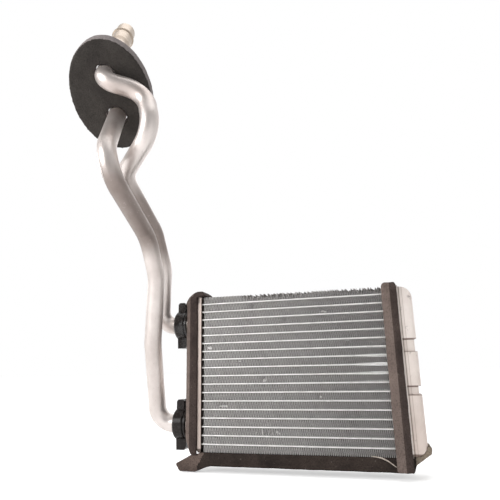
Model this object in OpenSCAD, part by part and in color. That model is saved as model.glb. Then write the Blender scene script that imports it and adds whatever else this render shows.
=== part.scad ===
// Heater core of a vehicle's heating box: brazed aluminium core, two end tanks,
// two bent coolant pipes held by plastic ring clamps, an oval bulkhead seal and foam strips.
// Millimetres. X runs along the tubes, Y runs away from the viewer, Z is up.
// The origin is the middle of the flat underside of the bottom foam strip.

/* [Core] */
// free length of a tube between the two header plates
header_span = 199; // [190:1:206]
// depth of the core, front to back
core_depth = 26; // [24:1:28]
// height from one tube to the next
tube_pitch = 8.3; // [8:0.1:8.6]
// thickness of a flat tube
tube_height = 1.6; // [1.4:0.1:2]
// length of one whole wave of a fin
fin_period = 3.4; // [3:0.1:4.2]
// thickness of the fin sheet
fin_sheet = 0.2; // [0.15:0.05:0.3]

/* [Headers and tanks] */
// thickness of the header plate
header_sheet = 1.5; // [1:0.1:2]
// width of the header plate's raised rim
header_rim = 3.7; // [3:0.1:5]
// reach of a tank beyond the header plate
tank_reach = 15; // [14:0.5:18]
// thickness of the tank wall
tank_wall = 1.4; // [1:0.1:1.6]

/* [Ports and pipes] */
// outside diameter of both pipes
pipe_d = 18; // [16:0.5:18.5]
// wall thickness of both pipes
pipe_wall = 1.2; // [1:0.1:1.6]
// diameter of the two flanges clamped together at a port
flange_d = 27.4; // [26.6:0.2:27.6]
// thickness of each of those flanges
flange_t = 3; // [2.6:0.1:3.2]
// outside diameter of the swaged hose end
hose_d = 22; // [21:0.5:23]
// outside diameter of the bead that keeps the hose on
bead_d = 25; // [24:0.5:26]
// length of a hose end, measured from the front face of the seal
hose_reach = 155; // [140:1:160]

/* [Clamps] */
// outside diameter of a ring clamp
clamp_d = 31.6; // [31.2:0.2:34]
// width of a ring clamp along the pipe
clamp_w = 14.4; // [13.6:0.2:14.8]

/* [Seal and foam] */
// long width of the oval bulkhead seal
seal_long = 112; // [100:1:120]
// short width of the oval bulkhead seal
seal_short = 80; // [74:1:90]
// thickness of the bulkhead seal
seal_thick = 14; // [8:1:16]
// thickness of the foam strip under the core
base_foam = 12.5; // [10:0.5:15]
// width of the foam strips at the front
strip_w = 12; // [10:0.5:14]
// thickness of the foam strips at the front
strip_t = 6.5; // [5:0.5:8]

/* [Hidden] */
$fn = 96;
tube_count = 18;
fin_gap = tube_pitch - tube_height;
core_bottom = base_foam;
core_height = (tube_count + 1) * fin_gap + tube_count * tube_height;
core_top = core_bottom + core_height;
core_mid = core_bottom + core_height / 2;
// inner face of a header plate, and the end of the fins just short of it
header_x = header_span / 2;
fin_end = header_x - 2.2;
header_out = header_x + header_sheet;
rim_out = header_x + header_rim;
rim_wall = 1.2;
header_y = core_depth / 2 + 2;
tank_y = header_y - rim_wall;
tank_z = core_height / 2 - rim_wall;
tank_x = header_out + tank_reach;
tank_corner = 12;
// depth of the two recesses pressed into the right tank
step_high = 2;
step_low = 2.5;
// the boss round each port, and the two flange faces that meet inside a clamp
boss_x = tank_x + 1;
boss_d = 2 * tank_y - 0.2;
joint_x = tank_x + 8.6;
neck_d = pipe_d + 4;
bore_d = pipe_d - 2 * pipe_wall;
leg_step = 0.2;
port_lower_z = core_bottom + 25.5;
port_upper_z = core_bottom + 128;
ring_r = bore_d / 2 + 2.6;
ring_d = 1.8;
clamp_x = joint_x;
// height at which the foam strips end behind the core
back_start = core_bottom + 20;

// The pipes and the seal are placed from the point of the joint plane that is level with the core's bottom.
pipe_start = [-joint_x, 0, core_bottom];
// both hose ends run square through the seal
seal_axis = unit([-0.211, 0.549, 0.808]);
seal_u0 = [0.1812, -0.7908, 0.5846];
seal_v = unit(cross(seal_axis, seal_u0));
seal_u = cross(seal_v, seal_axis);
seal_mid = [-31.6, -119.6, 347];
hole_lower = seal_mid - 20.1 * seal_u + 0.3 * seal_v;
hole_upper = seal_mid + 22.5 * seal_u - 1.5 * seal_v;

// corners of the two pipe routes, from the flange to the seal
route_lower = [
  [0, 0, port_lower_z - core_bottom],
  [-29.2, 0, port_lower_z - core_bottom],
  [-23.6, -30, 108.5],
  [-12.6, -47.7, 175.5],
  [-13.9, -66.7, 212.5],
  [-13.8, -147.2, 255.5],
  hole_lower - 62 * seal_axis,
  hole_lower
];
bends_lower = [17, 60, 40, 40, 30, 30];
route_upper = [
  [0, 0, port_upper_z - core_bottom],
  [-28.2, 0, port_upper_z - core_bottom],
  [-14.3, -27.2, 186.3],
  [-15, -50.3, 223.5],
  [-23.2, -104.7, 267.1],
  [19.6, -129.4, 297.5],
  [6.2, -121.2, 344.8],
  hole_upper - 14 * seal_axis,
  hole_upper
];
bends_upper = [14, 60, 40, 24, 26, 24, 12];

alu = [0.80, 0.78, 0.76];
fin_c = [0.62, 0.62, 0.61];
black = [0.10, 0.10, 0.10];
foam_c = [0.34, 0.29, 0.27];
seal_c = [0.25, 0.23, 0.22];

function unit(v) = v / norm(v);
function turn(a, b, c) = acos(max(-1, min(1, unit(b - a) * unit(c - b))));
function tube_z(i) = core_bottom + i * fin_gap + (i - 0.5) * tube_height;
function fin_z(i) = core_bottom + (i - 1) * tube_pitch;

// lays a shape drawn in a plane so that its sides are Y and Z and it is pushed along X
module along_x() {
  rotate([90, 0, 90]) children();
}

// turns a profile drawn as radius and height so that its height runs along the given axis
module toward(from, dir) {
  k = unit(dir);
  h = abs(k[2]) < 0.9 ? unit(cross([0, 0, 1], k)) : unit(cross([0, 1, 0], k));
  w = cross(k, h);
  multmatrix([
    [h[0], w[0], k[0], from[0]],
    [h[1], w[1], k[1], from[1]],
    [h[2], w[2], k[2], from[2]],
    [0, 0, 0, 1]
  ]) children();
}

module tube_outline() {
  square([core_depth - tube_height, tube_height], center = true);
  translate([core_depth / 2 - tube_height / 2, 0]) circle(d = tube_height);
  translate([tube_height / 2 - core_depth / 2, 0]) circle(d = tube_height);
}

// a folded flat tube with a web down its middle, ending level with the outer faces of the header plates
module tube(i) {
  channel = core_depth / 2 - 0.75;
  color(alu)
  translate([0, 0, tube_z(i)]) along_x()
  linear_extrude(2 * header_out, center = true)
  difference() {
    tube_outline();
    for (s = [-1, 1])
      translate([s * (channel / 2 + 0.15), 0]) square([channel, tube_height - 0.6], center = true);
  }
}

// one row of fin: a strip of thin sheet folded into a wave whose crests lie on the tubes
module fin(i) {
  t = fin_sheet;
  h = fin_gap;
  waves = floor(2 * fin_end / fin_period);
  start = -waves * fin_period / 2;
  run = 0.7;
  lean = atan2(h - t, run);
  k = t * tan(lean / 2);
  flat = (fin_period - 2 * run) / 2;
  crest = flat + k;
  upper = [for (n = [0:waves - 1]) let (x = start + n * fin_period)
    each [[x, t], [x + run, h], [x + run + crest, h], [x + 2 * run + crest, t]]];
  lower = [for (n = [waves - 1:-1:0]) let (x = start + n * fin_period)
    each [[x + 2 * run + crest - k, 0], [x + run + crest - k, h - t], [x + run + k, h - t], [x + k, 0]]];
  color(fin_c)
  translate([0, core_depth / 2, fin_z(i)]) rotate([90, 0, 0])
  linear_extrude(core_depth)
  polygon(concat([[start - flat + 2 * k, 0], [start - flat + 2 * k, t]], upper,
                 [[-start, t], [-start, 0]], lower));
}

// header plate: a slot for every tube and a raised rim that takes the tank
module header(side) {
  color(alu)
  mirror([side < 0 ? 1 : 0, 0, 0]) {
    translate([header_x, 0, 0]) along_x() linear_extrude(header_sheet)
    difference() {
      translate([-header_y, core_bottom]) square([2 * header_y, core_height]);
      for (i = [1:tube_count]) translate([0, tube_z(i)]) tube_outline();
    }
    translate([header_out, 0, 0]) along_x() linear_extrude(header_rim - header_sheet)
    difference() {
      translate([-header_y, core_bottom]) square([2 * header_y, core_height]);
      translate([-tank_y, core_mid - tank_z]) square([2 * tank_y, 2 * tank_z]);
    }
  }
}

// half-round ended outline, flat on the left and rounded on the right
module round_end(reach, half, r) {
  translate([0, -half]) square([reach - r, 2 * half]);
  translate([0, r - half]) square([reach, 2 * half - 2 * r]);
  for (s = [-1, 1]) translate([reach - r, s * (half - r)]) circle(r = r);
}

// deep-drawn tank shape; with a cut it is the hollow, run on past the open mouth
module tank_body(cut) {
  mouth = cut > 0 ? 1 : 0;
  intersection() {
    translate([header_out - mouth, 0, core_mid]) rotate([90, 0, 0])
    linear_extrude(4 * core_depth, center = true)
    round_end(tank_reach - cut + mouth, tank_z - cut, tank_corner - cut);
    translate([header_out - mouth, 0, 0])
    linear_extrude(core_top + 20)
    round_end(tank_reach - cut + mouth, tank_y - cut, 5 - cut);
  }
}

// shallow pressed recess round the tank, between two heights
module tank_step(low, high, depth) {
  translate([0, 0, low]) linear_extrude(high - low)
  difference() {
    translate([header_out + 2.4, -core_depth]) square([60, 2 * core_depth]);
    translate([header_out, 0]) round_end(tank_reach - depth, tank_y - depth, 5 - depth);
  }
}

module tank_right() {
  color(alu)
  difference() {
    tank_body(0);
    tank_step(core_bottom + 93, core_bottom + 105, step_high);
    tank_step(core_bottom + 54, core_bottom + 62, step_low);
    difference() {
      tank_body(tank_wall);
      tank_step(core_bottom + 93 - tank_wall, core_bottom + 105 + tank_wall, step_high + tank_wall);
      tank_step(core_bottom + 54 - tank_wall, core_bottom + 62 + tank_wall, step_low + tank_wall);
    }
  }
}

module tank_left() {
  color(alu)
  mirror([1, 0, 0])
  difference() {
    union() {
      tank_body(0);
      for (z = [port_lower_z, port_upper_z])
        toward([tank_x - 3, 0, z], [1, 0, 0]) cylinder(d = boss_d, h = boss_x - tank_x + 3);
    }
    tank_body(tank_wall);
    for (z = [port_lower_z, port_upper_z])
      toward([tank_x - 6, 0, z], [1, 0, 0]) cylinder(d = neck_d, h = 20);
  }
}

// plate across the left tank that sends the coolant out through the core and back
module baffle() {
  z = (tube_z(9) + tube_z(10)) / 2;
  color(alu)
  translate([-header_out - 3, 0, z - 0.6])
  mirror([1, 0, 0])
  linear_extrude(1.2)
  round_end(tank_reach - tank_wall - 3, tank_y - tank_wall, 5 - tank_wall);
}

// port: neck brazed into the tank wall, and a flange with an O-ring groove
module port(z) {
  n0 = tank_x - tank_wall;
  color(alu)
  toward([-n0, 0, z], [-1, 0, 0])
  rotate_extrude()
  polygon([
    [bore_d / 2, 0], [neck_d / 2, 0],
    [neck_d / 2, joint_x - n0 - flange_t], [flange_d / 2, joint_x - n0 - flange_t],
    [flange_d / 2, joint_x - n0],
    [ring_r + ring_d / 2 + 0.2, joint_x - n0], [ring_r + ring_d / 2 + 0.2, joint_x - n0 - ring_d],
    [ring_r - ring_d / 2 - 0.2, joint_x - n0 - ring_d], [ring_r - ring_d / 2 - 0.2, joint_x - n0],
    [bore_d / 2, joint_x - n0]
  ]);
}

module o_ring(z) {
  color(black)
  toward([-joint_x + ring_d / 2, 0, z], [-1, 0, 0])
  rotate_extrude() translate([ring_r, 0]) circle(d = ring_d);
}

// straight run of pipe, a hair smaller than the bends and let into them, so that the two join cleanly
module leg(a, b) {
  k = unit(b - a);
  toward(a - k * 0.1, k)
  linear_extrude(norm(b - a) + 0.2)
  difference() {
    circle(d = pipe_d - leg_step);
    circle(d = bore_d - leg_step);
  }
}

// bend of pipe at corner q, coming from p and going to s
module bend(p, q, s, r) {
  d1 = unit(q - p);
  d2 = unit(s - q);
  th = turn(p, q, s);
  inward = unit(d2 - d1 * (d1 * d2));
  c = q - d1 * r * tan(th / 2) + inward * r;
  up = cross(-inward, d1);
  multmatrix([
    [-inward[0], d1[0], up[0], c[0]],
    [-inward[1], d1[1], up[1], c[1]],
    [-inward[2], d1[2], up[2], c[2]],
    [0, 0, 0, 1]
  ])
  rotate_extrude(angle = th)
  translate([r, 0])
  difference() {
    circle(d = pipe_d);
    circle(d = bore_d);
  }
}

// bent pipe along a route, with the legs cut back to the ends of the bends
module pipe_run(v, r) {
  n = len(v);
  back = [for (i = [0:n - 1]) i == 0 || i == n - 1 || i > len(r) ? 0 : r[i - 1] * tan(turn(v[i - 1], v[i], v[i + 1]) / 2)];
  for (i = [0:n - 2])
    leg(v[i] + unit(v[i + 1] - v[i]) * (i == 0 ? flange_t : back[i]),
        v[i + 1] - unit(v[i + 1] - v[i]) * back[i + 1]);
  for (i = [1:len(r)])
    bend(v[i - 1], v[i], v[i + 1], r[i - 1]);
}

// flange at the port end of a pipe
module pipe_flange(v) {
  toward(v[0], v[1] - v[0])
  rotate_extrude()
  polygon([[bore_d / 2, 0], [flange_d / 2, 0], [flange_d / 2, flange_t - 0.6], [flange_d / 2 - 0.6, flange_t],
           [bore_d / 2, flange_t]]);
}

// hose end: swaged up, with a bead and a rounded nose
module hose_end(hole) {
  w = pipe_wall;
  toward(hole, seal_axis)
  rotate_extrude()
  polygon([
    [bore_d / 2, 0], [pipe_d / 2, 0],
    [pipe_d / 2, hose_reach - 62], [hose_d / 2, hose_reach - 56],
    [hose_d / 2, hose_reach - 32], [bead_d / 2 - 0.5, hose_reach - 30.5],
    [bead_d / 2, hose_reach - 29.5], [bead_d / 2, hose_reach - 28.5],
    [bead_d / 2 - 0.5, hose_reach - 27.5], [hose_d / 2 - 0.2, hose_reach - 26],
    [hose_d / 2 - 0.2, hose_reach - 2.5], [hose_d / 2 - 0.8, hose_reach - 0.6],
    [hose_d / 2 - w, hose_reach], [hose_d / 2 - w - 0.4, hose_reach - 0.6],
    [hose_d / 2 - w, hose_reach - 2.4], [hose_d / 2 - w, hose_reach - 55.5],
    [bore_d / 2, hose_reach - 61.5]
  ]);
}

module pipe_lower() {
  color(alu) translate(pipe_start) {
    pipe_flange(route_lower);
    pipe_run(route_lower, bends_lower);
    hose_end(hole_lower);
  }
}

module pipe_upper() {
  color(alu) translate(pipe_start) {
    pipe_flange(route_upper);
    pipe_run(route_upper, bends_upper);
    hose_end(hole_upper);
  }
}

// moulded ring clamp: a grooved ring, a hinge block on top and a latch block below
module clamp(z) {
  r = clamp_d / 2;
  w = clamp_w / 2;
  color(black)
  difference() {
    union() {
      toward([-clamp_x + w, 0, z], [-1, 0, 0])
      rotate_extrude()
      polygon([
        [neck_d / 2 + 0.4, 0], [r - 0.8, 0], [r - 0.2, 0.6], [r - 0.2, 2.2], [r - 1.3, 2.2], [r - 1.3, 3.6],
        [r - 0.3, 3.6], [r, 4.6], [r, 2 * w - 1.4], [r - 1.2, 2 * w], [pipe_d / 2 + 1.4, 2 * w],
        [pipe_d / 2 + 1.4, w + flange_t], [flange_d / 2 + 0.2, w + flange_t],
        [flange_d / 2 + 0.2, w - flange_t], [neck_d / 2 + 0.4, w - flange_t]
      ]);
      clamp_block(z, 12, [[1.5 - w, r - 1.6], [1.5 - w, r + 6.8], [3 - w, r + 8.8], [1.4, r + 8.8], [2.6, r + 7.4], [2.6, r - 1.6]]);
      clamp_block(z, 9, [[3.4, r - 1.6], [3.4, r + 9.4], [4.3, r + 9.4], [4.8, r + 6.2], [w - 1, r + 4.8], [w - 1, r - 1.6]]);
      clamp_block(z, 13, [[1.5 - w, 1.6 - r], [1.9 - w, -r - 9.2], [3.4, -r - 9.2], [5.2, -r - 6.8], [w - 1, 1.6 - r]]);
    }
    // the split between the two halves at the latch, and the latch window
    translate([-clamp_x, 0, z - r - 4]) cube([clamp_w + 2, 0.8, 14], center = true);
    translate([-clamp_x - 1.5, 3.6, z - r - 4]) cube([5, 1.8, 12], center = true);
  }
}

// block on a clamp: an outline seen from the front, with the given depth
module clamp_block(z, deep, outline) {
  translate([-clamp_x, deep / 2, z]) rotate([90, 0, 0]) linear_extrude(deep) polygon(outline);
}

// oval seal on both pipes, square to them
module bulkhead_seal() {
  n = 120;
  color(seal_c)
  translate(pipe_start)
  multmatrix([
    [seal_u[0], seal_v[0], seal_axis[0], seal_mid[0]],
    [seal_u[1], seal_v[1], seal_axis[1], seal_mid[1]],
    [seal_u[2], seal_v[2], seal_axis[2], seal_mid[2]],
    [0, 0, 0, 1]
  ])
  linear_extrude(seal_thick)
  difference() {
    polygon([for (i = [0:n - 1]) [seal_long / 2 * cos(360 * i / n), seal_short / 2 * sin(360 * i / n)]]);
    translate([-20.1, 0.3]) circle(d = pipe_d + 0.2);
    translate([22.5, -1.5]) circle(d = pipe_d + 0.2);
  }
}

// foam strip round the end of the core: up the front, over the top, down the back
module strip(x0, w, back, top, over, low, low_back, r) {
  ridge = -back - strip_t;
  difference() {
    translate([x0, 0, 0]) along_x() linear_extrude(w)
    difference() {
      union() {
        translate([-back - strip_t, low]) square([strip_t + 2 * back, top + over - low - r]);
        translate([-back, low_back]) square([2 * back + 5, top + over - low_back - r]);
        translate([-back - strip_t + r, top + over - r - 1]) square([2 * back + strip_t + 5 - 2 * r, r + 1]);
        translate([-back - strip_t + r, top + over - r]) circle(r = r);
        translate([back + 5 - r, top + over - r]) circle(r = r);
      }
      translate([-back, low - 1]) square([2 * back, top - low + 1]);
    }
    // the front face falls away from a ridge to both edges
    translate([0, 0, low - 1]) linear_extrude(top + over - low - r + 1)
    polygon([[x0 - 1, ridge - 1], [x0 + 0.42 * w, ridge - 1], [x0 + 0.42 * w, ridge], [x0, ridge + 2.6], [x0 - 1, ridge + 2.6]]);
    translate([0, 0, low - 1]) linear_extrude(top + over - low - r + 1)
    polygon([[x0 + 0.5 * w, ridge - 1], [x0 + w + 1, ridge - 1], [x0 + w + 1, ridge + 3.2], [x0 + w, ridge + 3.2], [x0 + 0.5 * w, ridge]]);
  }
}

module foam_left() {
  x0 = -rim_out - strip_w - 0.1;
  color(foam_c)
  difference() {
    strip(x0, strip_w - 0.4, tank_y, core_mid + tank_z, strip_t + 2.5, core_bottom - 2, back_start, 2 * strip_t);
    // the lower end is cut off at a slant
    translate([0, 1, 0]) rotate([90, 0, 0]) linear_extrude(2 * header_y)
    polygon([[x0 - 1, core_bottom - 3], [x0 + 0.6 * strip_w, core_bottom - 3], [x0, core_bottom + 14], [x0 - 1, core_bottom + 14]]);
  }
}

module foam_right() {
  x0 = rim_out - strip_w - 1;
  color(foam_c) {
    strip(x0, strip_w, header_y, core_top, strip_t - 2.5, 1, back_start, strip_t + 2.5);
    // the part of the strip that lies on the fins reaches further back than the rim of the header
    translate([x0, -header_y - 1, core_bottom]) cube([header_x - x0, header_y - core_depth / 2 + 1, core_height]);
  }
}

// foam strip under the core: loose tail at the left, right end turned up round the tank's corner
module foam_bottom() {
  x1 = rim_out - 1;
  x0 = -x1;
  cx = tank_x - tank_corner;
  cz = core_mid - tank_z + tank_corner;
  color(foam_c) {
    translate([x0, -header_y, 0]) cube([x1 - x0, 2 * header_y, base_foam]);
    translate([0, -3, 0]) rotate([90, 0, 0]) linear_extrude(header_y - 3)
    polygon([[x0 + 13, 0], [x0 + 9, -1.1], [x0 - 4, -5.6], [x0 - 20, -5.6], [x0 - 25, 1.5],
             [x0 - 10, 9.4], [x0 - 1, base_foam - 2.2], [x0 + 13, base_foam - 2.2]]);
    translate([0, core_depth / 2, 0]) rotate([90, 0, 0]) linear_extrude(core_depth)
    difference() {
      polygon([[x1, base_foam], [x1, 0], [x1 + 1, 0.5], [x1 + 2.5, 6.2], [tank_x + 2.7, 16.1], [tank_x + 3.4, 21.5],
               [tank_x - 0.4, 22.5], [cx, cz], [rim_out + 0.1, cz], [rim_out + 0.1, base_foam]]);
      translate([cx, cz]) circle(r = tank_corner);
      translate([header_x, cz - tank_corner]) square([cx - header_x, 2 * tank_corner]);
    }
  }
}

tube(1);  // tube_01
tube(2);  // tube_02
tube(3);  // tube_03
tube(4);  // tube_04
tube(5);  // tube_05
tube(6);  // tube_06
tube(7);  // tube_07
tube(8);  // tube_08
tube(9);  // tube_09
tube(10);  // tube_10
tube(11);  // tube_11
tube(12);  // tube_12
tube(13);  // tube_13
tube(14);  // tube_14
tube(15);  // tube_15
tube(16);  // tube_16
tube(17);  // tube_17
tube(18);  // tube_18
fin(1);  // fin_01
fin(2);  // fin_02
fin(3);  // fin_03
fin(4);  // fin_04
fin(5);  // fin_05
fin(6);  // fin_06
fin(7);  // fin_07
fin(8);  // fin_08
fin(9);  // fin_09
fin(10);  // fin_10
fin(11);  // fin_11
fin(12);  // fin_12
fin(13);  // fin_13
fin(14);  // fin_14
fin(15);  // fin_15
fin(16);  // fin_16
fin(17);  // fin_17
fin(18);  // fin_18
fin(19);  // fin_19
header(-1);  // header_left
header(1);  // header_right
tank_left();
tank_right();
baffle();
port(port_lower_z);  // port_lower
port(port_upper_z);  // port_upper
o_ring(port_lower_z);  // o_ring_lower
o_ring(port_upper_z);  // o_ring_upper
pipe_lower();
pipe_upper();
clamp(port_lower_z);  // clamp_lower
clamp(port_upper_z);  // clamp_upper
bulkhead_seal();
foam_left();
foam_right();
foam_bottom();
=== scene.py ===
import math

import bmesh
import bpy
import numpy as np
from mathutils import Matrix, Vector, noise


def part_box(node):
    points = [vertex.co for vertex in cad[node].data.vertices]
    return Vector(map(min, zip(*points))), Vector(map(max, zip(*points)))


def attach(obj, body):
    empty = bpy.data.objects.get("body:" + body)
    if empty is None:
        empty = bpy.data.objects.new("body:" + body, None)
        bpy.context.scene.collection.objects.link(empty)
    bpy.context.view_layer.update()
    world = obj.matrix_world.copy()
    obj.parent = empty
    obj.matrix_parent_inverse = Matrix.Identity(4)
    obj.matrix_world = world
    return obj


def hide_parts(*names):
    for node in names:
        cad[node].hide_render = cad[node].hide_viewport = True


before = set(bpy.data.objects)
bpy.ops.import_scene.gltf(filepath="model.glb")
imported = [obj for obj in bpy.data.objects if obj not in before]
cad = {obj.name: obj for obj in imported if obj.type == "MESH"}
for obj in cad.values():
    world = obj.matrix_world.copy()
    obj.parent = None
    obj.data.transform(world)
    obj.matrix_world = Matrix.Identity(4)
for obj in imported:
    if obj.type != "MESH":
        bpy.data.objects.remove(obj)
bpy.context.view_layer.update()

# Flat tubes
# Eighteen folded aluminium tubes with a web down the middle. They carry the
# coolant across the core and are brazed into both header plates, which leaves
# a thin skin of flux that dulls the metal in patches.


def blank(name):
    """A new material with its shader and object coordinates, in metres of the part's own frame."""
    mat = bpy.data.materials.new(name)
    mat.use_nodes = True
    tree = mat.node_tree
    shader = tree.nodes["Principled BSDF"]
    where = tree.nodes.new("ShaderNodeTexCoord").outputs["Object"]
    return mat, tree, shader, where


def link(tree, a, b):
    tree.links.new(a, b)


def cloud(tree, where, scale, detail=4.0, rough=0.55, stretch=None):
    """Noise of the given number of waves a metre; stretch scales it per axis."""
    if stretch:
        move = tree.nodes.new("ShaderNodeMapping")
        move.inputs["Scale"].default_value = stretch
        link(tree, where, move.inputs["Vector"])
        where = move.outputs["Vector"]
    node = tree.nodes.new("ShaderNodeTexNoise")
    node.inputs["Scale"].default_value = scale
    node.inputs["Detail"].default_value = detail
    node.inputs["Roughness"].default_value = rough
    link(tree, where, node.inputs["Vector"])
    return node.outputs["Fac"]


def steps(tree, fac, stops):
    """Colour ramp from a list of (place, colour)."""
    node = tree.nodes.new("ShaderNodeValToRGB")
    ramp = node.color_ramp
    while len(ramp.elements) < len(stops):
        ramp.elements.new(0.5)
    for element, (place, colour) in zip(ramp.elements, stops):
        element.position = place
        element.color = (*colour, 1.0)
    link(tree, fac, node.inputs["Fac"])
    return node.outputs["Color"]


def spots(tree, fac, low, high):
    """Black below the low value and white above the high one."""
    return steps(tree, fac, [(low, (0, 0, 0)), (high, (1, 1, 1))])


def blend_colour(tree, fac, a, b, kind="MIX"):
    node = tree.nodes.new("ShaderNodeMix")
    node.data_type = "RGBA"
    node.blend_type = kind
    for socket, value in ((node.inputs[0], fac), (node.inputs[6], a), (node.inputs[7], b)):
        if isinstance(value, bpy.types.NodeSocket):
            link(tree, value, socket)
        else:
            socket.default_value = value if isinstance(value, float) else (*value, 1.0)
    return node.outputs[2]


def between(tree, fac, low, high):
    """Turns a 0 to 1 value into one from low to high."""
    node = tree.nodes.new("ShaderNodeMapRange")
    node.inputs["To Min"].default_value = low
    node.inputs["To Max"].default_value = high
    link(tree, fac, node.inputs["Value"])
    return node.outputs["Result"]


def relief(tree, shader, height, depth, strength=1.0, under=None):
    """Bump of the given depth in metres; under is the bump that it lies on."""
    node = tree.nodes.new("ShaderNodeBump")
    node.inputs["Strength"].default_value = strength
    node.inputs["Distance"].default_value = depth
    link(tree, height, node.inputs["Height"])
    if under is not None:
        link(tree, under, node.inputs["Normal"])
    link(tree, node.outputs["Normal"], shader.inputs["Normal"])
    return node.outputs["Normal"]


def aluminium(name, clean, dull, stain, metal, shine, patch):
    """Satin aluminium: clean metal, dull patches of oxide and a few darker stains."""
    mat, tree, shader, where = blank(name)
    patches = cloud(tree, where, patch, 5.0, 0.6)
    colour = steps(tree, patches, [(0.35, clean), (0.68, dull)])
    stains = spots(tree, cloud(tree, where, patch * 2.7, 6.0, 0.7), 0.60, 0.74)
    colour = blend_colour(tree, stains, colour, stain)
    link(tree, colour, shader.inputs["Base Color"])
    shader.inputs["Metallic"].default_value = metal
    link(tree, between(tree, patches, *shine), shader.inputs["Roughness"])
    relief(tree, shader, cloud(tree, where, 900.0, 3.0, 0.5), 0.00003, 0.6)
    return mat


def dress(names, mat):
    for name in names:
        cad[name].data.materials.clear()
        cad[name].data.materials.append(mat)


tube_skin = aluminium(
    "brazed_tube", (0.86, 0.85, 0.83), (0.70, 0.69, 0.67), (0.45, 0.43, 0.41),
    metal=0.55, shine=(0.32, 0.5), patch=140.0)
dress(["tube_%02d" % i for i in range(1, 19)], tube_skin)

# Fins
# Nineteen rows of thin aluminium sheet, folded into a wave and brazed to the
# tubes. Both walls of every fold are cut into louvres that turn one way in
# front and the other way behind. Knocks have folded some front edges over.

# lengths are in metres; each wall of a fold leans along the row, and bows through the depth
core_front = -0.013
fold_length = 0.0017
fold_lean = 0.0006
fold_bow = 0.0008
edge = 0.00017
crest_rise = 0.00005
joint_gap = 0.00006
row_end_gap = 0.0004
# each wall is cut between these shares of its height
cuts = [0.10, 0.30, 0.50, 0.70, 0.90]
louvres_in_bank = 8
louvre_tilt = 0.4
plain_lip = 0.0013
plain_middle = 0.0009
top_row_level = 0.168
crushed_depth = 0.012
chance = np.random.default_rng(11)
knocks = [
    # place along the row, height, half width, half height, sideways push, depth, share folded
    (-0.0919, 0.1148, 0.0026, 0.0026, 0.0011, 0.0040, 1.0),
    (-0.0744, 0.1223, 0.0016, 0.0026, -0.0012, 0.0035, 0.5),
    (-0.0331, 0.0813, 0.0022, 0.0032, 0.0012, 0.0045, 1.0),
    (-0.0769, 0.0564, 0.0042, 0.0022, 0.0011, 0.0035, 1.0),
    (-0.0890, 0.0470, 0.0040, 0.0012, 0.0008, 0.0030, 0.5),
    (-0.0303, 0.0317, 0.0120, 0.0042, -0.0008, 0.0050, 0.15),
    (-0.0440, 0.1560, 0.0036, 0.0024, 0.0010, 0.0030, 0.0),
    (0.0300, 0.1470, 0.0024, 0.0024, 0.0010, 0.0030, 0.5),
    (-0.0600, 0.1000, 0.0020, 0.0024, -0.0010, 0.0030, 0.1),
    (-0.0100, 0.1400, 0.0022, 0.0020, 0.0009, 0.0030, 0.2),
    (0.0210, 0.0650, 0.0022, 0.0022, 0.0010, 0.0030, 0.2),
    (-0.0840, 0.0280, 0.0030, 0.0022, -0.0010, 0.0030, 0.3),
    (0.0520, 0.1180, 0.0020, 0.0024, 0.0009, 0.0030, 0.2),
]


def crush(out, x, y, z, lowest, highest):
    """Squeezes the folds of the top row into bunches and bends them down; no tube guards them."""
    hurt = np.clip((x + 0.058) / 0.008, 0, 1) * (1 - 0.75 * np.exp(-((x - 0.035) / 0.022) ** 2))
    depth = np.clip(1 - (y - core_front) / crushed_depth, 0, 1)
    level = (z - lowest) / (highest - lowest)
    bunch = np.sin(x * 1150 + 2.0 * np.sin(x * 190))
    out[:, 0] += 0.0017 * hurt * depth * level ** 1.5 * bunch
    dip = np.clip(np.sin(x * 575 + 1.3 * np.sin(x * 230)) * 0.5 + 0.55 * np.sin(x * 1490), 0, 1)
    out[:, 2] -= 0.0040 * hurt * depth * level ** 2 * dip
    out[:, 1] += 0.0010 * hurt * depth * level * np.abs(bunch)


def knocked(points, lowest, highest):
    """Moves the front of the fins where something has hit the core."""
    out = points.copy()
    x, y, z = points.T
    for px, pz, rx, rz, push, reach, _ in knocks:
        near = np.exp(-((x - px) / rx) ** 2 - ((z - pz) / rz) ** 2)
        depth = np.clip(1 - (y - core_front) / reach, 0, 1)
        out[:, 0] += push * near * depth
        out[:, 1] += 0.35 * abs(push) * near * depth
    # the folds weave a little through the depth of the core, and none is quite even
    out[:, 0] += fold_bow * np.sin(math.pi * y / core_front)
    for k in range(3):
        wave = np.sin(x * (410 + 160 * k) + z * (530 - 90 * k) + 2.1 * k)
        out[:, 0] += 0.00006 * wave * np.clip(1 - (y - core_front) / crushed_depth, 0, 1)
    if highest > top_row_level:
        crush(out, x, y, z, lowest, highest)
    return out


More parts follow.
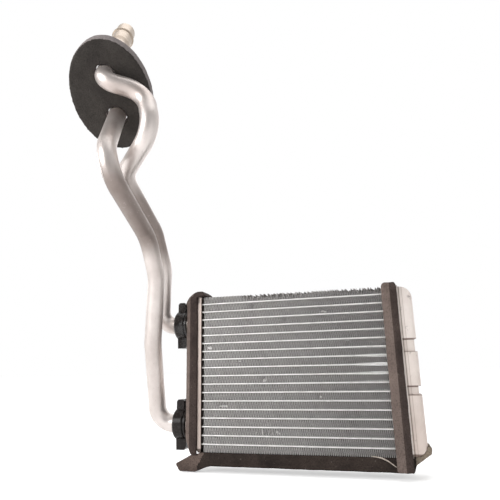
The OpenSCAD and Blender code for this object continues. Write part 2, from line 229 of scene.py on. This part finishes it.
def fin_row(name, low, high):
    """One row of louvred fin that fills the box of its CAD row."""
    start, end = low.x + row_end_gap, high.x - row_end_gap
    folds = round((end - start) / fold_length)
    pitch = (end - start) / folds
    flat = (pitch - 2 * fold_lean) / 2
    front, back = low.y, high.y
    bottom, top = low.z + joint_gap, high.z - joint_gap
    verts, faces = [], []

    def quad(a, b, c, d):
        n = len(verts)
        verts.extend((a, b, c, d))
        faces.append((n, n + 1, n + 2, n + 3))

    def wall(x0, x1):
        run, rise = x1 - x0, top - bottom
        length = math.hypot(run, rise)
        nx, nz = rise / length, -run / length

        def at(s, y, off=0.0):
            return (x0 + run * s + nx * off, y, bottom + rise * s + nz * off)

        def panel(s0, s1, y0, y1):
            quad(at(s0, y0), at(s0, y1), at(s1, y1), at(s1, y0))

        # the cut edge of the sheet, which is what catches the light
        for s0, s1 in ((0, 0.5), (0.5, 1)):
            quad(at(s0, front, -edge / 2), at(s0, front, edge / 2),
                 at(s1, front, edge / 2), at(s1, front, -edge / 2))
        panel(0, cuts[0], front, back)
        panel(cuts[-1], 1, front, back)
        for s0, s1 in zip(cuts, cuts[1:]):
            panel(s0, s1, front, front + plain_lip)
        panel(cuts[0], cuts[-1], -plain_middle, plain_middle)
        panel(cuts[0], cuts[-1], back - plain_lip, back)
        front_bank = (1, front + plain_lip, -plain_middle)
        back_bank = (-1, plain_middle, back - plain_lip)
        for bank, y0, y1 in (front_bank, back_bank):
            share = (y1 - y0) / louvres_in_bank
            half = share / 2 * 0.98
            dy, off = half * math.cos(louvre_tilt), half * math.sin(louvre_tilt) * bank
            for j in range(louvres_in_bank):
                yc = y0 + share * (j + 0.5)
                quad(at(cuts[0], yc - dy, -off), at(cuts[0], yc + dy, off),
                     at(cuts[-1], yc + dy, off), at(cuts[-1], yc - dy, -off))

    def crest(x0, x1, z, up):
        rise = crest_rise * up
        xs = [x0, x0 + (x1 - x0) * 0.3, x0 + (x1 - x0) * 0.7, x1]
        zs = [z, z + rise, z + rise, z]
        for k in range(3):
            for y0, y1 in ((front, front + 0.004), (front + 0.004, back)):
                quad((xs[k], y0, zs[k]), (xs[k], y1, zs[k]),
                     (xs[k + 1], y1, zs[k + 1]), (xs[k + 1], y0, zs[k + 1]))

    for n in range(folds):
        x = start + n * pitch
        wall(x, x + fold_lean)
        crest(x + fold_lean, x + fold_lean + flat, top, 1)
        wall(x + 2 * fold_lean + flat, x + fold_lean + flat)
        crest(x + 2 * fold_lean + flat, x + pitch, bottom, -1)
    for px, pz, rx, rz, _, _, share in knocks:
        # edges that a knock has folded flat against their neighbours
        if not low.z < pz < high.z:
            continue
        for n in range(folds * 2):
            x = start + n * pitch / 2
            if abs(x - px) > rx or chance.random() > share:
                continue
            tall = rz * chance.uniform(0.3, 1.0) * math.sqrt(max(0.1, 1 - ((x - px) / rx) ** 2))
            mid = min(max(pz + chance.uniform(-0.25, 0.25) * rz, low.z + tall), high.z - tall)
            wide = pitch * chance.uniform(0.4, 0.8)
            lift = chance.uniform(0.0, 0.0004)
            skew = chance.uniform(-0.0004, 0.0004)
            torn_low = mid - tall * chance.uniform(0.3, 0.9)
            torn_high = mid + tall * chance.uniform(0.1, 0.8)
            quad((x - skew, front, mid - tall),
                 (x + wide * 0.5, front + lift, torn_low),
                 (x + wide, front + lift + 0.0002, torn_high),
                 (x + skew, front + 0.0001, mid + tall))
    points = knocked(np.array(verts), low.z, high.z)
    points[:, 1] = np.clip(points[:, 1], front, back)
    mesh = bpy.data.meshes.new(name)
    mesh.from_pydata(points.tolist(), [], faces)
    mesh.update()
    piece = bpy.data.objects.new(name, mesh)
    bpy.context.scene.collection.objects.link(piece)
    return piece


def mask(tree, value, off, on):
    """0 where the value is at off, 1 where it is at on, with a soft change between the two."""
    node = tree.nodes.new("ShaderNodeMapRange")
    node.interpolation_type = "SMOOTHSTEP"
    node.inputs["From Min"].default_value = off
    node.inputs["From Max"].default_value = on
    link(tree, value, node.inputs["Value"])
    return node.outputs["Result"]


def sums(tree, kind, a, b=None):
    node = tree.nodes.new("ShaderNodeMath")
    node.operation = kind
    for socket, value in zip(node.inputs, (a, b)):
        if isinstance(value, bpy.types.NodeSocket):
            link(tree, value, socket)
        elif value is not None:
            socket.default_value = value
    return node.outputs[0]


def axes(tree, where):
    """The three coordinates of a point, each as a value of its own."""
    node = tree.nodes.new("ShaderNodeSeparateXYZ")
    link(tree, where, node.inputs["Vector"])
    return node.outputs


fin_skin, tree, shader, where = blank("fin_sheet")
haze = cloud(tree, where, 38.0, 5.0, 0.6)
tone = steps(tree, haze, [(0.30, (0.95, 0.92, 0.90)), (0.70, (0.84, 0.81, 0.79))])
bright_specks = spots(tree, cloud(tree, where, 420.0, 3.0, 0.6), 0.66, 0.72)
clean = blend_colour(tree, bright_specks, tone, (0.95, 0.94, 0.93))
x, y, z = axes(tree, where)
# painted shade darkens the sheet deep in the channels, so only its front and back edges keep their
# full tone
deep_channel_shade = mask(tree, sums(tree, "ABSOLUTE", y), 0.01298, 0.0121)
dust_and_shade = blend_colour(tree, deep_channel_shade, clean, (0.19, 0.175, 0.17), "MULTIPLY")
# the sheet is darker towards the right end
right_end = mask(tree, x, -0.03, 0.085)
dust_and_shade = blend_colour(tree, right_end, dust_and_shade, (0.82, 0.81, 0.81), "MULTIPLY")
link(tree, dust_and_shade, shader.inputs["Base Color"])
shader.inputs["Metallic"].default_value = 0.2
link(tree, between(tree, haze, 0.38, 0.58), shader.inputs["Roughness"])
relief(tree, shader, cloud(tree, where, 1500.0, 2.0, 0.5), 0.00002, 0.5)
for name in ["fin_%02d" % i for i in range(1, 20)]:
    low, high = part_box(name)
    row = fin_row(name + "_louvred", low, high)
    row.data.materials.append(fin_skin)
    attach(row, "root")
    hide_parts(name)

# Header plates
# Pressed aluminium plates with a slot for every tube and a rim that the tank
# sits in. The brazing furnace leaves a warm, slightly pink white film on them.
# Painted shade darkens the inner face between the tube ends and the foot.

furnace_film = ((0.95, 0.865, 0.81), (0.84, 0.755, 0.70), (0.46, 0.40, 0.37))


def shade(mat, masks):
    """Multiplies a material's colour by a tint where each mask, made from x, y and z, is 1."""
    tree = mat.node_tree
    shader = tree.nodes["Principled BSDF"]
    spot = axes(tree, tree.nodes["Texture Coordinate"].outputs["Object"])
    for make, tint in masks:
        colour = shader.inputs["Base Color"].links[0].from_socket
        colour = blend_colour(tree, make(tree, *spot), colour, tint, "MULTIPLY")
        link(tree, colour, shader.inputs["Base Color"])


def whole(tree, x, y, z):
    return mask(tree, z, -1.0, 0.0)


# painted shade on the plate's inner face, in the gap behind the fins
def shaded_inner_face(tree, x, y, z):
    return mask(tree, sums(tree, "ABSOLUTE", x), 0.0998, 0.0996)


# painted shade along the bottom edge of the part
def shaded_foot(tree, x, y, z):
    return mask(tree, z, 0.0166, 0.0154)


for name, tint in (("header_left", (0.52, 0.48, 0.46)), ("header_right", (0.92, 0.92, 0.92))):
    plate_skin = aluminium(
        "pressed_" + name, *furnace_film, metal=0.6, shine=(0.36, 0.55), patch=48.0)
    shade(plate_skin, [(whole, tint), (shaded_inner_face, (0.16, 0.13, 0.12)), (shaded_foot, (0.20, 0.18, 0.17))])
    dress([name], plate_skin)

# End tanks
# Deep-drawn aluminium tanks, brazed into the rims of the header plates, with
# a baffle plate between the two ports in the left one. The right one has two
# notches pressed into its outer wall. Painted shade lies in thin grooves by the
# rim and along the foot, painted shadows lie under the notches, and the lower end
# is darker.


def line(axis, at, half):
    """Mask of a thin line at a place along one axis, the same on both sides of the core."""
    def make(tree, *spot):
        off = sums(tree, "ABSOLUTE", sums(tree, "SUBTRACT", sums(tree, "ABSOLUTE", spot[axis]), at))
        return mask(tree, off, half * 1.6, half * 0.6)
    return make


def lower_end(tree, x, y, z):
    return mask(tree, z, 0.13, 0.02)


tank_skin = aluminium("drawn_tank", *furnace_film, metal=0.6, shine=(0.36, 0.55), patch=48.0)
shade(tank_skin, [
    (lower_end, (0.70, 0.66, 0.64)),
    (shaded_foot, (0.30, 0.26, 0.24)),
    # painted shade in two thin grooves near the rim
    (line(0, 0.1041, 0.0004), (0.45, 0.42, 0.40)),
    (line(0, 0.1068, 0.0003), (0.78, 0.75, 0.73)),
])
dress(["tank_left", "baffle"], tank_skin)

notched_skin = tank_skin.copy()
notched_skin.name = "drawn_notched_tank"
notch_shadow = (0.34, 0.29, 0.27)
notch_slope_shade = (0.62, 0.58, 0.56)
# painted shadow under each notch step and painted shade on the lower edge of each notch
shade(notched_skin, [
    (line(2, 0.1171, 0.0007), notch_shadow),
    (line(2, 0.0741, 0.0007), notch_shadow),
    (line(2, 0.1055, 0.0005), notch_slope_shade),
    (line(2, 0.0663, 0.0005), notch_slope_shade),
])
dress(["tank_right"], notched_skin)

# Ports
# Two turned aluminium flanges, brazed into the left tank. Their machined
# faces hold an O-ring each and sit under the ring clamps.

port_skin = aluminium(
    "turned_port", (0.82, 0.80, 0.78), (0.70, 0.68, 0.66), (0.5, 0.48, 0.46),
    metal=0.85, shine=(0.25, 0.4), patch=120.0)
dress(["port_lower", "port_upper"], port_skin)

# O-rings
# A rubber ring in a groove of each port's face. The clamp presses the pipe's
# flange against it.

ring_skin, tree, shader, where = blank("ring_rubber")
bloom = cloud(tree, where, 600.0)
rubber = steps(tree, bloom, [(0.3, (0.012, 0.012, 0.012)), (0.7, (0.03, 0.03, 0.03))])
link(tree, rubber, shader.inputs["Base Color"])
shader.inputs["Roughness"].default_value = 0.6
relief(tree, shader, cloud(tree, where, 1200.0), 0.00002)
dress(["o_ring_lower", "o_ring_upper"], ring_skin)

# Pipes
# Two bent aluminium pipes, each with a flange at the port end and a swaged,
# beaded hose end. Painted shade and a painted dark reflection brown the stretch
# that leans forward, and the bending dies have left faint streaks.



def stretch_of(tree, z, start, full, until, end):
    """1 over a stretch of height, fading in from start to full and out from until to end."""
    return sums(tree, "MULTIPLY", mask(tree, z, start, full), mask(tree, z, end, until))


pipe_skin, tree, shader, where = blank("bent_pipe")
patches = cloud(tree, where, 30.0, 5.0, 0.6)
colour = steps(tree, patches, [(0.32, (0.72, 0.66, 0.63)), (0.70, (0.56, 0.50, 0.47))])
x, y, z = axes(tree, where)
# painted shade and dark reflection on the stretch that leans forward
leaning_stretch_shade = stretch_of(tree, z, 0.198, 0.222, 0.258, 0.281)
uneven = between(tree, cloud(tree, where, 55.0, 6.0, 0.65), 0.70, 1.0)
leaning_stretch_shade = sums(tree, "MULTIPLY", leaning_stretch_shade, uneven)
colour = blend_colour(tree, leaning_stretch_shade, colour, (0.200, 0.158, 0.140))
# painted shade browns the stretch just under the seal, which sees little light
near_seal = stretch_of(tree, z, 0.338, 0.349, 0.354, 0.36)
colour = blend_colour(tree, sums(tree, "MULTIPLY", near_seal, 0.35), colour, (0.36, 0.27, 0.23))
# the hose end behind the seal has gone yellow from the rubber of its hose
hose_end = sums(tree, "MULTIPLY", mask(tree, z, 0.425, 0.465), 0.9)
colour = blend_colour(tree, hose_end, colour, (0.43, 0.345, 0.265))
marks = spots(tree, cloud(tree, where, 210.0, 6.0, 0.7), 0.62, 0.72)
colour = blend_colour(tree, marks, colour, (0.50, 0.44, 0.41))
link(tree, colour, shader.inputs["Base Color"])
shader.inputs["Metallic"].default_value = 0.72
link(tree, between(tree, patches, 0.31, 0.48), shader.inputs["Roughness"])
streaks = cloud(tree, where, 160.0, 6.0, 0.6, stretch=(1.6, 1.6, 0.35))
relief(tree, shader, streaks, 0.00012, 0.5)
dress(["pipe_lower", "pipe_upper"], pipe_skin)

# Ring clamps
# One moulded ring of black plastic over each pair of flanges, with a hinge
# block on top and a latch below. The skin is slightly glossy, with scuffs.

clamp_skin, tree, shader, where = blank("moulded_black")
scuff = cloud(tree, where, 260.0, 6.0, 0.7)
black = steps(tree, scuff, [
    (0.35, (0.013, 0.010, 0.009)), (0.62, (0.023, 0.019, 0.018)), (0.78, (0.07, 0.062, 0.058))])
link(tree, black, shader.inputs["Base Color"])
link(tree, between(tree, scuff, 0.12, 0.40), shader.inputs["Roughness"])
shader.inputs["Specular IOR Level"].default_value = 0.5
relief(tree, shader, cloud(tree, where, 1400.0, 3.0, 0.5), 0.00003, 0.5)
dress(["clamp_upper"], clamp_skin)
# the lower clamp gets a copy with weaker reflection: painted shade
shaded_clamp_skin = clamp_skin.copy()
shaded_clamp_skin.name = "moulded_black_shaded"
shaded_clamp_skin.node_tree.nodes["Principled BSDF"].inputs["Specular IOR Level"].default_value = 0.18
dress(["clamp_lower"], shaded_clamp_skin)

# Bulkhead seal
# A thick oval of closed-cell foam that both pipes are pushed through. It
# seals the hole in the bulkhead. Its faces are dark, its cut edge is paler.


def soft_copy(node, name, voxel, ruffle, wave):
    """The CAD solid of a foam piece as a fine closed mesh with soft edges and a ruffled skin."""
    shell = bpy.data.objects.new(name, cad[node].data.copy())
    shell.data.materials.clear()
    bpy.context.scene.collection.objects.link(shell)
    remesh = shell.modifiers.new("cells", "REMESH")
    remesh.mode = "VOXEL"
    remesh.voxel_size = voxel
    graph = bpy.context.evaluated_depsgraph_get()
    mesh = bpy.data.meshes.new_from_object(shell.evaluated_get(graph), depsgraph=graph)
    shell.modifiers.clear()
    shell.data = mesh
    work = bmesh.new()
    work.from_mesh(mesh)
    for _ in range(2):
        bmesh.ops.smooth_vert(
            work, verts=work.verts, factor=0.5, use_axis_x=True, use_axis_y=True, use_axis_z=True)
    work.normal_update()
    for v in work.verts:
        big = noise.noise(v.co * wave)
        small = noise.noise(v.co * wave * 5.3 + Vector((7.0, 3.0, 1.0)))
        v.co += v.normal * (ruffle * (big + 0.45 * small) - ruffle * 0.3)
    work.to_mesh(mesh)
    work.free()
    for face in mesh.polygons:
        face.use_smooth = True
    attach(shell, "root")
    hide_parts(node)
    return shell


def foam(name, pale, dark, cells, dust=(0.30, 0.26, 0.23), dust_and_shade=0.66):
    """Matt foam: open cells of the given number a metre, uneven colour and a little pale dust."""
    mat, tree, shader, where = blank(name)
    body = steps(tree, cloud(tree, where, 45.0, 6.0, 0.65), [(0.32, dark), (0.70, pale)])
    cell = tree.nodes.new("ShaderNodeTexVoronoi")
    cell.inputs["Scale"].default_value = cells
    link(tree, where, cell.inputs["Vector"])
    pits = steps(tree, cell.outputs["Distance"], [(0.10, (0.45, 0.45, 0.45)), (0.55, (1, 1, 1))])
    body = blend_colour(tree, 0.75, body, pits, "MULTIPLY")
    dusting = spots(tree, cloud(tree, where, 340.0, 5.0, 0.7), dust_and_shade, dust_and_shade + 0.1)
    link(tree, blend_colour(tree, dusting, body, dust), shader.inputs["Base Color"])
    shader.inputs["Roughness"].default_value = 0.95
    shader.inputs["Specular IOR Level"].default_value = 0.2
    coarse = relief(tree, shader, cloud(tree, where, 320.0, 4.0, 0.6), 0.0004, 0.7)
    relief(tree, shader, cell.outputs["Distance"], 0.0002, 0.6, under=coarse)
    return mat


seal_axis = Vector((-0.211, 0.549, 0.808)).normalized()
lower_hole = Vector((-0.15955, -0.10362, 0.34777))
upper_hole = Vector((-0.15356, -0.1378, 0.37255))
hole_open = 0.0009
hole_rim = (0.004, 0.0125)
seal = soft_copy("bulkhead_seal", "seal_foam_disc", 0.0011, 0.00025, 60.0)
seal_face = foam("seal_skin", (0.070, 0.062, 0.056), (0.040, 0.035, 0.032), 900.0, dust_and_shade=0.72)
seal_edge = foam(
    "seal_cut_edge", (0.30, 0.265, 0.26), (0.205, 0.18, 0.175), 700.0, dust=(0.5, 0.47, 0.46))
# the holes stand a little open round the pipes
for place in (lower_hole, upper_hole):
    for v in seal.data.vertices:
        rel = v.co - place
        out = rel - seal_axis * rel.dot(seal_axis)
        if hole_rim[0] < out.length < hole_rim[1]:
            v.co += out.normalized() * hole_open * min(1.0, (hole_rim[1] - out.length) / 0.002)
seal.data.materials.append(seal_face)
seal.data.materials.append(seal_edge)
for face in seal.data.polygons:
    face.material_index = 1 if abs(face.normal.dot(seal_axis)) < 0.6 else 0

# Foam strips
# Strips of soft foam with a glued back, wrapped round both ends of the core
# and laid under it, to stop air going round the core. The base strip has come
# loose at its left end, and its right end is turned up round the tank.

core_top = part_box("fin_19")[1].z
squeeze = 0.30
pressed_out = 0.0026
spread = 0.0085
droop = 0.0095
strip_cells = 760.0
# the paler foam is painted light on the left side of the side strips, and the cut edge at the loose
# tail's end
painted_light_and_cut_edge = foam("strip_painted_light_and_cut_edge", (0.215, 0.166, 0.145), (0.125, 0.095, 0.083), strip_cells)
strip_skin = foam("strip_skin", (0.092, 0.067, 0.059), (0.050, 0.037, 0.033), strip_cells)
base_skin = foam(
    "base_foam", (0.050, 0.037, 0.031), (0.021, 0.0155, 0.0135), 700.0,
    dust=(0.20, 0.17, 0.15), dust_and_shade=0.64)
tail_skin = foam("loose_tail", (0.165, 0.122, 0.104), (0.078, 0.057, 0.049), strip_cells)
glued_end = foam("glued_end", (0.36, 0.30, 0.23), (0.22, 0.18, 0.14), 700.0)
skins = [painted_light_and_cut_edge, strip_skin, base_skin, glued_end, tail_skin]


def base_strip_skin(face):
    """The loose left end is folded over on a slant, and the right end shows its glue."""
    slant = 0.0075 * min(1.0, max(0.0, face.center.z / 0.013))
    if face.center.x < -0.1032 + slant:
        return painted_light_and_cut_edge if face.normal.x < -0.35 else tail_skin
    return glued_end if face.center.x > 0.1046 else base_skin


def shape_right(v, low, high):
    """The strip is squeezed narrower over the core's top and pressed out over the fins."""
    lift = max(0.0, (v.co.z - high.z + 0.006) / 0.006)
    mid = (low.x + high.x) / 2
    v.co.x = mid + (v.co.x - mid) * (1 - squeeze * lift ** 2)
    band = 0.45 * (high.x - low.x)
    inner = (low.x + band - v.co.x) / band
    if v.co.y < -0.0131:
        v.co.x -= pressed_out * min(1.0, max(0.0, inner))


def shape_left(v, low, high):
    """Above the core the strip spreads right over the first fins, and its left shoulder droops."""
    across = (v.co.x - low.x) / (high.x - low.x)
    above = min(1.0, max(0.0, (v.co.z - core_top - 0.0003) / 0.0012))
    v.co.x += spread * above * max(0.0, across - 0.15) / 0.85
    shoulder = (1 - min(1.0, across / 0.55)) ** 2
    v.co.z -= droop * shoulder * max(0.0, (v.co.z - high.z + 0.020) / 0.020)
    fall = max(0.0, (v.co.x - high.x) / spread)
    v.co.z = min(v.co.z, core_top + 0.0004 + (high.z - core_top) * (1 - 0.85 * fall ** 2))


strips = (("foam_left", "left_strip"), ("foam_right", "right_strip"), ("foam_bottom", "base_strip"))
for node, name in strips:
    strip = soft_copy(node, name, 0.0010, 0.0003, 90.0)
    low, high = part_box(node)
    for skin in skins:
        strip.data.materials.append(skin)
    for face in strip.data.polygons:
        if name == "base_strip":
            skin = base_strip_skin(face)
        else:
            # painted light on the left share of each side strip; the rest keeps the darker skin
            skin = painted_light_and_cut_edge if face.center.x < low.x + 0.45 * (high.x - low.x) else strip_skin
        face.material_index = skins.index(skin)
    if name == "right_strip":
        for v in strip.data.vertices:
            shape_right(v, low, high)
    if name == "left_strip":
        for v in strip.data.vertices:
            shape_left(v, low, high)

# Glue film
# A pale ribbon of the adhesive that holds the base strip on. It shows at the
# front, where the strip has pulled away near its right end.

film_path = [
    (0.0660, 0.0137), (0.0701, 0.0133), (0.0753, 0.0124),
    (0.0803, 0.0101), (0.0856, 0.0063), (0.0872, 0.0052)]
film_front, film_back = -0.0157, -0.0149
points = []
for k, (x, z) in enumerate(film_path):
    half = 0.0001 + 0.00045 * math.sin(math.pi * (k + 0.6) / len(film_path))
    points += [(x, film_front, z - half), (x, film_front, z + half)]
    points += [(x, film_back, z + half), (x, film_back, z - half)]
walls = []
for k in range(len(film_path) - 1):
    a, b = 4 * k, 4 * k + 4
    walls += [(a + j, b + j, b + (j + 1) % 4, a + (j + 1) % 4) for j in range(4)]
last = len(points) - 4
walls += [(3, 2, 1, 0), (last, last + 1, last + 2, last + 3)]
sheet = bpy.data.meshes.new("glue_film")
sheet.from_pydata(points, [], walls)
glue_film = bpy.data.objects.new("glue_film", sheet)
bpy.context.scene.collection.objects.link(glue_film)
film_skin, tree, shader, where = blank("glue_film")
uneven = cloud(tree, where, 500.0)
glue = steps(tree, uneven, [(0.35, (0.62, 0.55, 0.48)), (0.65, (0.40, 0.34, 0.29))])
link(tree, glue, shader.inputs["Base Color"])
shader.inputs["Roughness"].default_value = 0.5
relief(tree, shader, cloud(tree, where, 900.0), 0.0001)
sheet.materials.append(film_skin)
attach(glue_film, "root")

# Camera
# It stands where the tube lines of the photograph put it.

picture_width = 500
focal_length = 456
camera = bpy.data.cameras.new("camera")
camera.sensor_width = 36.0
camera.lens = focal_length / picture_width * camera.sensor_width
camera.clip_start = 0.01
view = bpy.data.objects.new("camera", camera)
bpy.context.scene.collection.objects.link(view)
right = Vector((0.96384, 0.26569, -0.02072))
up = Vector((0.08518, -0.23346, 0.96863))
ahead = Vector((-0.25252, 0.93536, 0.24765))
turn = Matrix((right, up, -ahead)).transposed().to_4x4()
view.matrix_world = Matrix.Translation((0.0804, -0.4757, 0.09484)) @ turn
bpy.context.scene.camera = view

# Floor
# A pale sweep that serves as floor and backdrop. Away from the part it turns
# into the plain white of the backdrop.

floor_level = -0.0062
span = 6.0
corners = [(-span, -span), (span, -span), (span, span), (-span, span)]
floor_mesh = bpy.data.meshes.new("floor")
floor_mesh.from_pydata([(*corner, floor_level) for corner in corners], [], [(0, 1, 2, 3)])
floor = bpy.data.objects.new("floor", floor_mesh)
bpy.context.scene.collection.objects.link(floor)
floor_skin, tree, shader, where = blank("pale_floor")
shader.inputs["Roughness"].default_value = 0.9
shader.inputs["Specular IOR Level"].default_value = 0.1
shader.inputs["Emission Color"].default_value = (1.0, 1.0, 1.0, 1.0)
path = tree.nodes.new("ShaderNodeLightPath")
x, y, z = axes(tree, where)
squares = sums(tree, "ADD", sums(tree, "MULTIPLY", x, x), sums(tree, "MULTIPLY", y, y))
away = sums(tree, "SQRT", squares)
far = sums(tree, "MULTIPLY", mask(tree, away, 0.25, 0.75), path.outputs["Is Camera Ray"])
link(tree, blend_colour(tree, far, (0.9, 0.9, 0.9), (0.0, 0.0, 0.0)), shader.inputs["Base Color"])
seen = sums(tree, "MAXIMUM", path.outputs["Is Camera Ray"], path.outputs["Is Glossy Ray"])
seen = sums(tree, "MAXIMUM", seen, path.outputs["Is Transmission Ray"])
glow = sums(tree, "ADD", sums(tree, "MULTIPLY", seen, 0.5), sums(tree, "MULTIPLY", far, 0.6))
link(tree, glow, shader.inputs["Emission Strength"])
floor_mesh.materials.append(floor_skin)

# Light
# The world is plain white to the camera. Metal sees the white backdrop behind
# the part and a greyer room in front of it. Soft lamps stand to the left, the
# right, above and behind.

world = bpy.data.worlds.new("studio")
bpy.context.scene.world = world
world.use_nodes = True
tree = world.node_tree
ground = tree.nodes["Background"]
ground.inputs["Color"].default_value = (1.0, 1.0, 1.0, 1.0)
path = tree.nodes.new("ShaderNodeLightPath")
seen = sums(tree, "MAXIMUM", path.outputs["Is Camera Ray"], path.outputs["Is Transmission Ray"])
heading = axes(tree, tree.nodes.new("ShaderNodeTexCoord").outputs["Generated"])
room = between(tree, mask(tree, heading["Y"], -0.7, 0.6), 0.30, 1.0)
mirrored = tree.nodes.new("ShaderNodeMix")
mirrored.inputs[2].default_value = 0.42
link(tree, path.outputs["Is Glossy Ray"], mirrored.inputs[0])
link(tree, room, mirrored.inputs[3])
level = sums(tree, "MAXIMUM", seen, mirrored.outputs[0])
link(tree, level, ground.inputs["Strength"])


def lamp(name, place, aim, size, power):
    light = bpy.data.lights.new(name, "AREA")
    light.shape = "RECTANGLE"
    light.size, light.size_y = size
    light.energy = power
    stand = bpy.data.objects.new(name, light)
    bpy.context.scene.collection.objects.link(stand)
    stand.location = place
    stand.rotation_euler = (Vector(aim) - Vector(place)).to_track_quat("-Z", "Y").to_euler()


lamp("key_left", (-0.95, -0.95, 0.6), (-0.05, 0.0, 0.2), (0.7, 0.7), 11.0)
lamp("fill_right", (1.1, -0.9, 0.5), (0.0, 0.0, 0.15), (0.9, 0.9), 1.3)
lamp("top", (0.0, -0.1, 1.3), (0.0, 0.0, 0.1), (1.0, 1.0), 5.0)
lamp("back", (-0.3, 1.2, 0.7), (-0.05, 0.0, 0.2), (0.9, 0.9), 3.0)
lamp("streak", (-0.62, -1.2, 0.62), (-0.12, 0.0, 0.15), (0.12, 0.6), 2.0)
lamp("rim_left", (-1.2, 0.25, 0.5), (-0.12, 0.0, 0.15), (0.2, 0.35), 2.5)

bpy.context.scene.view_settings.view_transform = "Standard"
